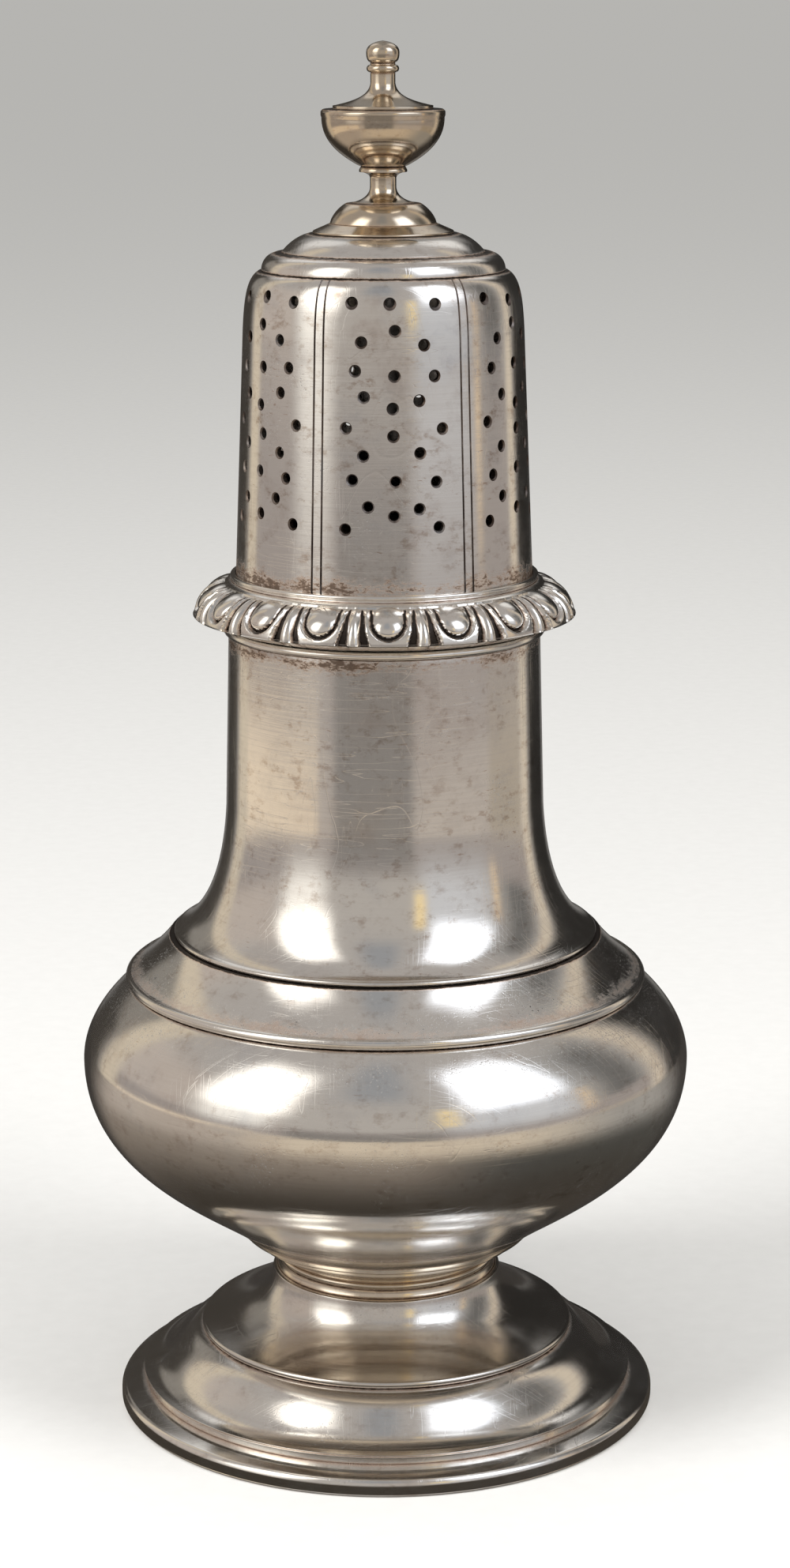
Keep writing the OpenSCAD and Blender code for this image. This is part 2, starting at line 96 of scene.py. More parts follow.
def turned(name, outline, around=256, worn=0.12, sectors=16, carve=None):
    """A piece turned on the lathe: its closed outline, in mm, is drawn point by point and spun.
    One sector is made first, carved where the piece has ornament, and then copied round."""
    line = [Vector((r * MM, 0, z * MM)) for r, z in softened(outline, worn)]
    sector = 2 * math.pi / sectors
    bpy.ops.object.select_all(action="DESELECT")
    bpy.ops.mesh.primitive_plane_add(size=MM)
    piece = bpy.context.object
    piece.name = piece.data.name = name
    bpy.ops.object.mode_set(mode="EDIT")
    bpy.ops.mesh.merge(type="CENTER")
    bpy.ops.transform.translate(value=line[0])
    for here, ahead in zip(line, line[1:] + line[:1]):
        bpy.ops.mesh.extrude_region_move(TRANSFORM_OT_translate={"value": ahead - here})
    bpy.ops.mesh.select_all(action="SELECT")
    bpy.ops.mesh.remove_doubles(threshold=JOIN_LINE)
    bpy.ops.mesh.spin(steps=around // sectors, angle=sector, center=(0, 0, 0), axis=(0, 0, 1))
    bpy.ops.mesh.select_all(action="SELECT")
    bpy.ops.mesh.remove_doubles(threshold=JOIN_SECTOR)
    if carve:
        bpy.ops.object.mode_set(mode="OBJECT")
        carve(piece.data)
        bpy.ops.object.mode_set(mode="EDIT")
    bpy.ops.mesh.select_all(action="SELECT")
    for copy in range(1, sectors):
        bpy.ops.mesh.duplicate()
        bpy.ops.transform.rotate(value=sector, orient_axis="Z", center_override=(0, 0, 0))
    bpy.ops.mesh.select_all(action="SELECT")
    bpy.ops.mesh.remove_doubles(threshold=JOIN_ROUND)
    bpy.ops.mesh.normals_make_consistent(inside=False)
    bpy.ops.object.mode_set(mode="OBJECT")
    bpy.ops.object.shade_smooth_by_angle(angle=SMOOTH_BELOW)
    return piece


class Wire:
    """An output of one of a material's nodes, on which sums can be written"""

    def __init__(self, tree, socket=None):
        self.tree, self.socket = tree, socket

    def node(self, kind, settings=None, inputs=None, out=0):
        made = self.tree.nodes.new(kind)
        for key, value in (settings or {}).items():
            setattr(made, key, value)
        for key, value in (inputs or {}).items():
            if isinstance(value, Wire):
                self.tree.links.new(value.socket, made.inputs[key])
            else:
                made.inputs[key].default_value = value
        return Wire(self.tree, made.outputs[out])

    def math(self, operation, a, b=0.0, clamp=False):
        return self.node("ShaderNodeMath", {"operation": operation, "use_clamp": clamp}, {0: a, 1: b})

    def __add__(self, other):
        return self.math("ADD", self, other)

    def __sub__(self, other):
        return self.math("SUBTRACT", self, other)

    def __mul__(self, other):
        return self.math("MULTIPLY", self, other)

    def __truediv__(self, other):
        return self.math("DIVIDE", self, other)

    def __rsub__(self, other):
        return self.math("SUBTRACT", other, self)

    __radd__, __rmul__ = __add__, __mul__

    def clamped(self):
        return self.math("ADD", self, 0.0, clamp=True)

    def between(self, low, high):
        """0 below low, 1 above high and smooth between them"""
        return self.node("ShaderNodeMapRange", {"interpolation_type": "SMOOTHSTEP"},
                         {0: self, 1: low, 2: high})

    def mixed(self, a, b):
        """Colour a where this is 0 and colour b where it is 1"""
        return self.node("ShaderNodeMix", {"data_type": "RGBA"}, {0: self, 6: a, 7: b}, out=2)

    def noise(self, place, scale, detail=4.0, rough=0.55):
        return self.node("ShaderNodeTexNoise", None,
                         {"Vector": place, "Scale": scale, "Detail": detail, "Roughness": rough})

    def dots(self, place, scale):
        """Distance from the middle of the nearest of many scattered dots"""
        return self.node("ShaderNodeTexVoronoi", {"feature": "F1"}, {"Vector": place, "Scale": scale})

    def stretched(self, place, scale, turn=(0, 0, 0)):
        return self.node("ShaderNodeMapping", None, {"Vector": place, "Rotation": turn, "Scale": scale})

    def part(self, place, axis):
        """One of a place's three measures"""
        return self.node("ShaderNodeSeparateXYZ", None, {0: place}, out=axis)


X, Y, Z = 0, 1, 2
OBJECT_PLACE = 3

BRIGHT_SILVER = (0.87, 0.85, 0.81, 1)
BROWNED_SILVER = (0.50, 0.43, 0.385, 1)
BLUED_SILVER = (0.56, 0.56, 0.57, 1)
# Brown and black of tarnish, which the bands also use as painted shade
BROWN_TARNISH_AND_SHADE = (0.36, 0.19, 0.09, 1)
BROWN_FLECKS = (0.34, 0.23, 0.15, 1)
BLACK_TARNISH_AND_SHADE = (0.02, 0.015, 0.012, 1)
# How fine each pattern is, in cells to the metre
CLOUDS, FINE_CLOUDS, TINTS, PATCHES, SPECK_PATCHES = 42, 260, 85, 130, 90
SPECKS, FINE_SPECKS = 1500, 3300
# The same along x, y and z for patterns that are drawn out
RUB_MARKS, RAGGED_EDGE = (60, 60, 2600), (1100, 1100, 2600)
FLECKS, DASHES = (480, 480, 760), (620, 620, 3000)
# Three sets of scratches: how they are turned, and how fine they are
SCRATCH_SETS = (((0.5, 0.3, 0.2), (900, 60, 60)), ((-0.9, 0.4, 1.1), (60, 60, 1100)),
                ((0.2, 1.0, -0.6), (50, 1000, 50)))
# A hollow of this half width or more, in mm, has a fully ragged edge
WIDE_HOLLOW = 1.5
BUMP_STRENGTH, BUMP_DEPTH = 0.1, 0.0002


def old_silver(name, bright=BRIGHT_SILVER, gloss=0.13, cloud=0.6, bands=(), specks=0.3, speck_level=None,
               mottle=0.25, relief=False, seed=0.0):
    """Polished silver that has aged: clouds, brown in the hollows, black specks, rub marks and scratches.
    bands lists the hollows as (level in mm, half width in mm, strength), and speck_level is a level
    with many specks and its half width. Some bands are painted shade: shadow lines at steps and under
    edges."""
    material = bpy.data.materials.new(name)
    material.use_nodes = True
    tree = material.node_tree
    tree.nodes.clear()
    pen = Wire(tree)
    place = pen.node("ShaderNodeTexCoord", out=OBJECT_PLACE)
    shifted = pen.node("ShaderNodeMapping", None, {"Vector": place, "Location": (seed, seed * 0.7, 0)})
    level = pen.part(place, Z) * (1 / MM)

    # Clouds of thin tarnish, large and small
    large = pen.noise(shifted, CLOUDS, 3, 0.5)
    small = pen.noise(shifted, FINE_CLOUDS, 5, 0.62)
    clouds = (large.between(0.40, 0.68) * 0.5 + small.between(0.45, 0.75) * 0.5) * cloud
    tints = pen.noise(shifted, TINTS, 3, 0.5).between(0.42, 0.6)
    cloud_colour = tints.mixed(BROWNED_SILVER, BLUED_SILVER)
    # Rub marks that run round the piece, and fine scratches that cross it
    rubbed = pen.noise(pen.stretched(shifted, RUB_MARKS), 1, 3, 0.6)
    scratches = 0
    for turn, scale in SCRATCH_SETS:
        line = pen.noise(pen.stretched(shifted, scale, turn), 1, 1, 0.4)
        width = pen.math("ABSOLUTE", line - 0.5)
        scratches = (1 - width.between(0.0, 0.006)) * large.between(0.35, 0.6) + scratches
    scratches = scratches.clamped()
    # Dark bands with a broken edge: tarnish that polishing leaves in the hollows, and painted shade where
    # a band is a shadow line at a step or under an edge
    ragged = pen.noise(pen.stretched(shifted, RAGGED_EDGE), 1, 5, 0.72)
    patchy = pen.noise(shifted, PATCHES, 3, 0.6)
    hollow = None
    for z, half, strength in bands:
        near = 1 - pen.math("ABSOLUTE", level - z) / half
        broken = min(1.0, half / WIDE_HOLLOW)
        darkened = near + (ragged - 0.5) * 3.2 * broken + (patchy - 0.5) * 2.2 * broken
        darkened = darkened.between(0.1 + 0.25 * broken, 1.0 + 0.25 * broken) * strength
        darkened = darkened * near.between(-0.3, 0.4)
        hollow = darkened if hollow is None else pen.math("MAXIMUM", hollow, darkened)
    if relief:
        sunk = pen.node("ShaderNodeAttribute", {"attribute_name": "sunk"}, out=2)
        darkened = (sunk + (ragged - 0.5) * 0.5).between(0.35, 1.0) * 0.96
        hollow = darkened if hollow is None else pen.math("MAXIMUM", hollow, darkened)
    # Black specks, thick in some places
    coarse, fine = pen.dots(shifted, SPECKS), pen.dots(shifted, FINE_SPECKS)
    where = pen.noise(shifted, SPECK_PATCHES, 4, 0.65)
    thick = where.between(0.5, 0.72)
    if speck_level:
        z, half = speck_level
        near = (1 - pen.math("ABSOLUTE", level - z) / half).clamped()
        thick = thick + near * where.between(0.3, 0.6)
    pitted = (1 - coarse.between(0.1, 0.24)) * 0.8 + (1 - fine.between(0.12, 0.3)) * 0.6
    pitted = (pitted * thick * specks).clamped()
    # Brown flecks, and short dark dashes along the rub marks
    flecks = pen.noise(pen.stretched(shifted, FLECKS), 1, 6, 0.72)
    flecks = flecks.between(0.5, 0.7) * patchy.between(0.36, 0.6) * mottle
    dashes = pen.noise(pen.stretched(shifted, DASHES), 1, 3, 0.6)
    dashes = dashes.between(0.64, 0.72) * where.between(0.46, 0.62) * mottle

    colour = (clouds + (rubbed - 0.5) * 0.3).clamped().mixed(bright, cloud_colour)
    rough = gloss + clouds * 0.08 + (rubbed - 0.5) * 0.1 + scratches * 0.07
    metal = 1 - clouds * 0.05 - pitted * 0.6
    colour = flecks.mixed(colour, BROWN_FLECKS)
    colour = dashes.mixed(colour, BROWN_TARNISH_AND_SHADE)
    # The bands go brown and then black: tarnish in the hollows, and painted shade where a band is a shadow
    # line
    if hollow is not None:
        colour = (hollow * 0.9).mixed(colour, BROWN_TARNISH_AND_SHADE)
        colour = hollow.between(0.6, 0.97).mixed(colour, BLACK_TARNISH_AND_SHADE)
        rough = rough + hollow * 0.2
        metal = metal - hollow * 0.35
    colour = pitted.mixed(colour, BLACK_TARNISH_AND_SHADE)
    height = rubbed * 0.25 + small * 0.35 - scratches * 0.35 - pitted
    bump = pen.node("ShaderNodeBump", None,
                    {"Strength": BUMP_STRENGTH, "Distance": BUMP_DEPTH, "Height": height})
    surface = pen.node("ShaderNodeBsdfPrincipled", None,
                       {"Base Color": colour, "Roughness": rough.clamped(), "Metallic": metal.clamped(),
                        "Normal": bump})
    end = tree.nodes.new("ShaderNodeOutputMaterial")
    tree.links.new(surface.socket, end.inputs["Surface"])
    return material


def finish_piece(piece, material, body, node):
    """The piece's silver, the body that it moves with and the solid that it stands for"""
    piece.data.materials.clear()
    piece.data.materials.append(material)
    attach(piece, body)
    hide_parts(node)


foot_silver = old_silver("foot_silver", gloss=0.12, cloud=0.55, seed=0.3,
                         bands=((RIM_TOP, 0.3, 0.7), (SKIRT_TOP, 0.4, 0.9)))
rim = turned("standing_rim", [(RIM_IN_R, 0)]
             + arc((RIM_R - EDGE_ROUND, EDGE_ROUND), EDGE_ROUND, -90, 0)
             + arc((RIM_R - WIRE_ROUND, WIRE_LEVEL), WIRE_ROUND, 0, 75)
             + [(BAND_R, RIM_TOP), (RIM_IN_R, RIM_TOP)])
finish_piece(rim, foot_silver, "body", "foot_rim")


# Foot skirt and trumpet
# Two flares raised from sheet silver. The lower is a double curve over a plain band,
# and the upper is hollow, with a half-round lip that sits on the lower one's turned-in top.

SHEET = 0.9
BAND_TOP, SKIRT_R, SKIRT_LOW = 4.2, 34.6, 4.6
STEP_R, SKIRT_HOLE_R = 25.7, 24.6
STEP_ROUND, TRUMPET_R, TRUMPET_TOP = 0.5, 16.0, 19.1
# How far below its top a sheet's back stops, where a level end closes it
BACK_GAP = 0.1


def sheet_back(line, thickness=SHEET):
    """The hidden side of a sheet whose seen side climbs along a line"""
    back = []
    for i, (r, z) in enumerate(line):
        a, b = line[max(i - 1, 0)], line[min(i + 1, len(line) - 1)]
        along = Vector((b[0] - a[0], b[1] - a[1])).normalized()
        back.append((r - thickness * along.y, z + thickness * along.x))
    return back[::-1]


skirt_face = flare((SKIRT_R, SKIRT_LOW), (STEP_R, SKIRT_TOP), (0.55, 0.06, 0.42, 0.86))
skirt_back = [p for p in sheet_back(skirt_face) if p[0] < BAND_R - SHEET and p[1] < SKIRT_TOP - SHEET]
skirt = turned("skirt_flare", [(BAND_R - SHEET, RIM_TOP), (BAND_R, RIM_TOP), (BAND_R, BAND_TOP)]
               + skirt_face + [(SKIRT_HOLE_R, SKIRT_TOP), (SKIRT_HOLE_R, SKIRT_TOP - SHEET)] + skirt_back)
finish_piece(skirt, foot_silver, "body", "foot_skirt")

trumpet_face = flare((STEP_R, SKIRT_TOP + 2 * STEP_ROUND), (TRUMPET_R, TRUMPET_TOP),
                     (0.57, 0.12, 0.06, 0.43))
trumpet_back = [p for p in sheet_back(trumpet_face)
                if p[0] < SKIRT_HOLE_R and p[1] < TRUMPET_TOP - BACK_GAP]
trumpet = turned("trumpet_flare", [(SKIRT_HOLE_R, SKIRT_TOP)]
                 + arc((STEP_R, SKIRT_TOP + STEP_ROUND), STEP_ROUND, -90, 90) + trumpet_face[1:]
                 + [(TRUMPET_R - SHEET, TRUMPET_TOP)] + trumpet_back)
trumpet_silver = old_silver("trumpet_silver", bright=(0.80, 0.775, 0.73, 1), gloss=0.14, cloud=0.55,
                            seed=0.6, bands=((SKIRT_TOP, 0.4, 0.9),))
finish_piece(trumpet, trumpet_silver, "body", "foot_trumpet")


# Foot collar
# The turned ring between the foot and the bulb, soldered to both: a hollow waist, a thin bead,
# and above it a slope with two low reeds that runs on into the bulb.

WAIST_LOW_R, WAIST_R, WAIST_TOP = 15.67, 15.0, 20.6
BEAD_ROUND = 0.4
BULB_LOW_R, BULB_LOW = 23.7, 27.8
COLLAR_IN_R, COLLAR_IN_LOW = 22.1, 21.9
REEDS, REED_START, REED_W, REED_RISE, REED_STEPS = 2, 3.2, 2.0, 0.35, 12

slope_low, slope_high = Vector((WAIST_R, WAIST_TOP + 2 * BEAD_ROUND)), Vector((BULB_LOW_R, BULB_LOW))
slope = (slope_high - slope_low).normalized()
proud = Vector((slope.y, -slope.x))
reeds = []
for i in range(REEDS * REED_STEPS + 1):
    reed = i / REED_STEPS
    rise = REED_RISE * abs(math.sin(math.pi * reed))
    reeds.append(tuple(slope_low + slope * (REED_START + REED_W * reed) + proud * rise))
collar = turned("reeded_collar", [(WAIST_R - SHEET, TRUMPET_TOP)]
                + flare((WAIST_LOW_R, TRUMPET_TOP), (WAIST_R, WAIST_TOP), (0.35, 0.20, 0, 0.50), 10)
                + arc((WAIST_R, WAIST_TOP + BEAD_ROUND), BEAD_ROUND, -90, 90)[1:] + reeds
                + [(BULB_LOW_R, BULB_LOW), (COLLAR_IN_R, BULB_LOW), (WAIST_R - SHEET, COLLAR_IN_LOW)],
                worn=0.05)
collar_silver = old_silver("collar_silver", bright=(0.80, 0.71, 0.58, 1), gloss=0.13, cloud=0.7, seed=0.9,
                           bands=((19.3, 0.3, 0.9), (20.4, 0.4, 0.9), (21.5, 0.2, 0.8),
                                  (23.3, 0.25, 0.9), (24.5, 0.25, 0.9), (25.7, 0.25, 0.9)))
finish_piece(collar, collar_silver, "body", "foot_collar")


# Bulb
# The round body that holds the sugar, raised from sheet with its own closed bottom.
# Its top edge meets the shoulder under the girdle's wire.

BULB_R, BULB_MIDDLE = 42.15, 50.5
SEAM_R, SEAM, GIRDLE_ROUND = 35.4, 62.2, 0.7
BULB_STEPS = 320
# The bottom's inner corner: where the wall's back stops over the floor, and how far in it is rounded
CORNER_RISE, CORNER_IN = 0.5, 0.4

body_silver = old_silver("body_silver", gloss=0.12, cloud=0.6, seed=1.1, specks=0.55,
                         speck_level=(59.5, 2.2), mottle=0.35,
                         bands=((61.4, 0.35, 1.0), (28.2, 0.8, 0.7)))
bulb_face = (flare((BULB_LOW_R, BULB_LOW), (BULB_R, BULB_MIDDLE), (0.55, 0.25, 0, 0.47), 40)
             + flare((BULB_R, BULB_MIDDLE), (SEAM_R, SEAM - GIRDLE_ROUND), (1, 0.38, 0.55, 0.75))[1:])
bulb_back = [p for p in sheet_back(bulb_face) if p[1] > BULB_LOW + SHEET + CORNER_RISE]
bulb = turned("bulb_body", [(0, BULB_LOW)] + bulb_face
              + [(SEAM_R, SEAM), (SEAM_R - SHEET, SEAM)] + bulb_back
              + [(bulb_back[-1][0] - CORNER_IN, BULB_LOW + SHEET), (0, BULB_LOW + SHEET)],
              around=BULB_STEPS)
finish_piece(bulb, body_silver, "body", "bowl")


# Girdle wire
# Half-round silver wire, bent to a ring and soldered over the seam between the bulb and the shoulder.
# The mouth's wire is drawn of the same silver.

NECK_TOP = 110.2

wire_silver = old_silver("wire_silver", gloss=0.13, cloud=0.4, seed=2.3,
                         bands=((SEAM - GIRDLE_ROUND, 0.25, 1.0), (NECK_TOP, 0.25, 1.0)))
girdle = turned("girdle_bead", arc((SEAM_R, SEAM), GIRDLE_ROUND, -90, 90, 16),
                around=BULB_STEPS, worn=0.02)
finish_piece(girdle, wire_silver, "body", "girdle_wire")


# Shoulder
# The hollow-curved band between the seam and the neck, spun from sheet.
# Its top is turned in, and the neck's lip is soldered on it a little inside the edge.

SHOULDER_LOW_R, SHOULDER_LOW = 35.1, 62.9
SHOULDER_R, SHOULDER_TOP, NECK_HOLE_R = 29.9, 68.05, 27.7

shoulder_silver = old_silver("shoulder_silver", gloss=0.12, cloud=0.55, seed=3.9, specks=0.8,
                             speck_level=(64.0, 2.2), mottle=0.35,
                             bands=((63.2, 1.2, 0.5), (SHOULDER_TOP, 0.35, 1.0)))
shoulder_face = flare((SHOULDER_LOW_R, SHOULDER_LOW), (SHOULDER_R, SHOULDER_TOP), (0.70, 0.24, 0.30, 0.58))
shoulder_back = [p for p in sheet_back(shoulder_face)
                 if SEAM + BACK_GAP < p[1] < SHOULDER_TOP - SHEET - BACK_GAP / 2]
shoulder = turned("hollow_shoulder", [(SEAM_R, SEAM), (SEAM_R, SHOULDER_LOW)] + shoulder_face
                  + [(NECK_HOLE_R, SHOULDER_TOP), (NECK_HOLE_R, SHOULDER_TOP - SHEET)]
                  + shoulder_back + [(shoulder_back[-1][0], SEAM)], around=BULB_STEPS)
finish_piece(shoulder, shoulder_silver, "body", "shoulder")


# Neck
# The tube of sheet silver above the shoulder, flared at its foot and soldered on by a half-round lip.
# It narrows a little upwards, and its top is bored for the cover's sleeve.

LIP_R, LIP_ROUND, NECK_LOW = 28.92, 0.37, 68.8
TUBE_R, TUBE_LOW, TUBE_TOP_R = 21.85, 86.45, 21.25
BORE_R, BORE_LOW = 20.35, 95.3
FLARE_STEPS, TUBE_STEPS = 40, 24


def straight(low, high, steps):
    """Points of an outline along a straight line from a low point to a high one"""
    rise = (high[0] - low[0], high[1] - low[1])
    return [(low[0] + rise[0] * i / steps, low[1] + rise[1] * i / steps) for i in range(steps + 1)]


neck_silver = old_silver("neck_silver", gloss=0.12, cloud=0.55, seed=5.2, specks=0.4,
                         speck_level=(107.0, 3.5), mottle=0.5,
                         bands=((109.4, 1.9, 0.82), (110.15, 0.3, 1.0), (68.1, 0.3, 1.0)))
neck_flare = flare((LIP_R, NECK_LOW), (TUBE_R, TUBE_LOW), (0.45, 0.12, 0.07, 0.44), FLARE_STEPS)
tube_face = straight((TUBE_R, TUBE_LOW), (TUBE_TOP_R, NECK_TOP), TUBE_STEPS)
neck_back = [p for p in sheet_back(neck_flare) if p[0] < NECK_HOLE_R]
neck = turned("flared_neck", [(NECK_HOLE_R, SHOULDER_TOP)]
              + arc((LIP_R, SHOULDER_TOP + LIP_ROUND), LIP_ROUND, -90, 90) + neck_flare[1:] + tube_face[1:]
              + [(BORE_R, NECK_TOP), (BORE_R, BORE_LOW)] + neck_back)
finish_piece(neck, neck_silver, "body", "neck")


# Mouth rim
# Half-round silver wire, soldered round the neck's top edge.
# The cover's border rests on it.

MOUTH_R, MOUTH_ROUND, MOUTH_TOP = 21.35, 0.55, 111.3

mouth = turned("mouth_bead", [(BORE_R, NECK_TOP)]
               + arc((MOUTH_R, NECK_TOP + MOUTH_ROUND), MOUTH_ROUND, -90, 90, 14)
               + [(BORE_R, MOUTH_TOP)], worn=0.05)
finish_piece(mouth, wire_silver, "body", "mouth_rim")


# Cover sleeve
# The plain tube of sheet silver inside the cover, soldered into the border and left unpolished.
# It slips into the neck and holds the cover by its fit.

SLEEVE_R, SLEEVE_LOW, SLEEVE_TOP = 20.27, 97.3, 114.9
LEAD_IN_R, LEAD_IN_TOP = 20.0, 98.1

plain_silver = old_silver("plain_silver", bright=(0.66, 0.62, 0.55, 1), gloss=0.3, cloud=0.8, seed=7.7)
sleeve = turned("slip_sleeve", [(SLEEVE_R - SHEET, SLEEVE_LOW), (LEAD_IN_R, SLEEVE_LOW),
                                (SLEEVE_R, LEAD_IN_TOP), (SLEEVE_R, SLEEVE_TOP),
                                (SLEEVE_R - SHEET, SLEEVE_TOP)], worn=0.1)
finish_piece(sleeve, plain_silver, "cover", "cover_sleeve")


# Egg-and-dart border
# The cast ring round the cover's foot: eggs in raised frames, with a dart between each pair.
# It is turned, and its face is then sunk round the ornament as the casting's pattern is cut.

EGGS, EGG_STEPS = 17, 60
EGG_TURN = math.radians(1.4)
EGG_PITCH = 2 * math.pi / EGGS
# Half widths and places of the eggs, their frames and the darts, in mm
EGG_W, EGG_LOW, EGG_STRETCH, GROOVE = 2.0, 1.25, 1.1, 0.4
FRAME_W, FRAME_FOOT_IN, FRAME_FOOT, FRAME_ROUND = 3.2, 0.5, 2.2, 0.35
DART_W, DART_FOOT_W = 0.6, 0.42
# The face runs out into the plain ring from this far below its top, over this height
RUN_OUT, RUN_OUT_H = 0.7, 0.5
# Depth of the grooves in mm, and how high the parts of the ornament stand in them as shares of it
RELIEF = 1.15
EGG_EDGE, EGG_SWELL, FRAME_RISE, DART_RISE = 0.3, 0.8, 0.85, 0.9
# The face's lower edge, the radius from which its underside is carved, and how far that may drop
BORDER_R, BORDER_EDGE, UNDERSIDE_R, MOST_DROP = 26.05, 112.9, 21.35, 0.25
ON_CREST = 0.02

crest = flare((BORDER_R, BORDER_EDGE), (21.5, 117.3), (1, 0.5, 0.5, 1), 46)
underside = [(SLEEVE_R, MOUTH_TOP), (21.3, MOUTH_TOP), (23.0, 111.9), (24.7, 112.5), (25.5, 112.75)]
ring_top = ([(21.2, 117.5), (20.9, 117.6), (20.75, 117.9)] + arc((20.6, 118.25), 0.32, -60, 90, 8)
            + [(SLEEVE_R, 118.57)])

climbed = [0.0]
for a, b in zip(crest, crest[1:]):
    climbed.append(climbed[-1] + math.dist(a, b))
crest_length = climbed[-1]


def swell(x):
    """Height of a half round at x from its middle, as a share of its half width"""
    return math.sqrt(max(0.0, 1 - x * x))


def ornament(x, s, half_pitch):
    """Height of the ornament, from 0 in its grooves to 1, at x mm beside an egg and s mm up the face"""
    middle = EGG_LOW + EGG_STRETCH * EGG_W
    gap = (math.hypot(x, (s - middle) / EGG_STRETCH) if s < middle else abs(x)) - EGG_W
    height = 0.0
    if gap < 0:
        height = EGG_EDGE + (1 - EGG_EDGE) * swell(1 + gap / EGG_W) ** EGG_SWELL
    # The frame round the egg, which draws in at its foot
    frame_w = FRAME_W - FRAME_FOOT_IN * max(0.0, 1 - s / FRAME_FOOT)
    if gap > GROOVE and abs(x) < frame_w:
        inside = min(gap - GROOVE, frame_w - abs(x))
        height = FRAME_RISE * swell(max(0.0, 1 - inside / FRAME_ROUND))
    # The dart, which widens towards its foot
    dart_w = DART_W + DART_FOOT_W * max(0.0, 1 - s / crest_length)
    beside = half_pitch - abs(x)
    if beside < dart_w:
        height = max(height, DART_RISE * swell(beside / dart_w))
    return max(height, min(1.0, max(0.0, (s - crest_length + RUN_OUT) / RUN_OUT_H)))


def carved(mesh):
    """Sinks the face of the border round its ornament, and keeps how deep each place is for its tarnish"""
    sunk = mesh.attributes.new("sunk", "FLOAT", "POINT")
    for vertex, value in zip(mesh.vertices, sunk.data):
        x, y, z = vertex.co / MM
        r = math.hypot(x, y)
        # The nearest place on the crest line
        i = min(range(len(crest)), key=lambda k: (crest[k][0] - r) ** 2 + (crest[k][1] - z) ** 2)
        on_face = math.dist(crest[i], (r, z)) < ON_CREST
        if not on_face and not (z < BORDER_EDGE - ON_CREST / 2 and r > UNDERSIDE_R):
            continue
        s = climbed[i] if on_face else 0.0
        fade = 1.0 if on_face else (r - UNDERSIDE_R) / (BORDER_R - UNDERSIDE_R)
        angle = (math.atan2(y, x) + math.pi / 2 - EGG_TURN + EGG_PITCH / 2) % EGG_PITCH - EGG_PITCH / 2
        depth = (1 - ornament(angle * r, s, EGG_PITCH * r / 2)) * fade
        a, b = crest[max(i - 1, 0)], crest[min(i + 1, len(crest) - 1)]
        climb = Vector((b[0] - a[0], b[1] - a[1])).normalized()
        new_r = r - climb.y * depth * RELIEF
        new_z = z + max(climb.x * depth * RELIEF, -MOST_DROP)
        vertex.co = Vector((x / r * new_r, y / r * new_r, new_z)) * MM
        value.value = depth


border = turned("egg_and_dart_border", underside + crest + ring_top, around=EGGS * EGG_STEPS, worn=0.03,
                sectors=EGGS, carve=carved)
for polygon in border.data.polygons:
    polygon.use_smooth = True
# The wide band low on the border darkens its underside: painted shade
border_silver = old_silver("border_silver", gloss=0.13, cloud=0.3, seed=9.1, specks=0.15, relief=True,
                           bands=((117.7, 0.25, 0.9), (111.9, 0.7, 0.8)))
finish_piece(border, border_silver, "cover", "cover_border")


# Pierced barrel
# The sheet tube through which the sugar is shaken: six panels of drilled holes with rubbed edges,
# parted by pairs of engraved lines that run up over the rounded top.

BARREL_LOW, BARREL_STEPS = 114.95, 40
ROUND_R, ROUND_LOW = 18.85, 151.1
BARREL_TOP_R, BARREL_TOP, BARREL_HOLE_R = 16.6, 159.1, 14.9
PANELS = 6
COVER_TURN = math.radians(3.9)
# Level of a row, spread to either side in degrees, and rise of its middle hole where it has one
ROWS = ((127.2, 18.0, None), (130.15, 10.5, -1.6), (133.6, 16.0, 0.0), (136.8, 11.0, None),
        (140.2, 19.0, -1.2), (144.0, 10.5, -1.3), (147.3, 16.0, 0.0), (151.2, 11.5, 1.6),
        (156.4, 17.5, 0.0))
# The hand's unevenness, in mm up or down and in degrees to either side
UNEVEN_UP, UNEVEN_SIDE = 0.4, 1.2
HOLE_R, DRILL_SIDES, DRILL_LENGTH, DRILL_IN = 0.65, 24, 3.0, 1.7
SHANK_RISE, SHANK_WIDEN, SHANK_LENGTH = 0.42, 1.6, 1.0
FACES_UP = 0.9

# The dark band at the barrel's top is a painted shadow line, one with the band at the dome's foot
cover_silver = old_silver("cover_silver", gloss=0.12, cloud=0.9, seed=11.6, specks=0.45, mottle=0.6,
                          bands=((119.2, 2.4, 0.82), (118.4, 0.35, 1.0), (BARREL_TOP, 0.4, 1.0)))
# Nearly black silver for the walls inside the drilled holes and the graver's cuts: painted shade in these
# recesses
recess_shade_silver = old_silver("recess_shade_silver", bright=(0.07, 0.05, 0.04, 1), gloss=0.45, cloud=0.9, seed=4.4)
SEEN, IN_CUTS = 0, 1

barrel_face = (straight((SLEEVE_R, BARREL_LOW), (ROUND_R, ROUND_LOW), BARREL_STEPS)[:-1]
               + flare((ROUND_R, ROUND_LOW), (BARREL_TOP_R, BARREL_TOP), (0.91, 0.55, 0.73, 0.89), 24))
barrel_back = [p for p in sheet_back(barrel_face)
               if BARREL_LOW + BACK_GAP / 2 < p[1] < BARREL_TOP - 2 * BACK_GAP]
barrel = turned("pierced_barrel", barrel_face + [(BARREL_HOLE_R, BARREL_TOP)] + barrel_back
                + [(SLEEVE_R - SHEET, BARREL_LOW)], around=320)
barrel.data.materials.append(cover_silver)
barrel.data.materials.append(recess_shade_silver)


def face_radius(z):
    """Radius of the barrel's face at a level"""
    for a, b in zip(barrel_face, barrel_face[1:]):
        if a[1] <= z <= b[1]:
            return a[0] + (b[0] - a[0]) * (z - a[1]) / (b[1] - a[1])


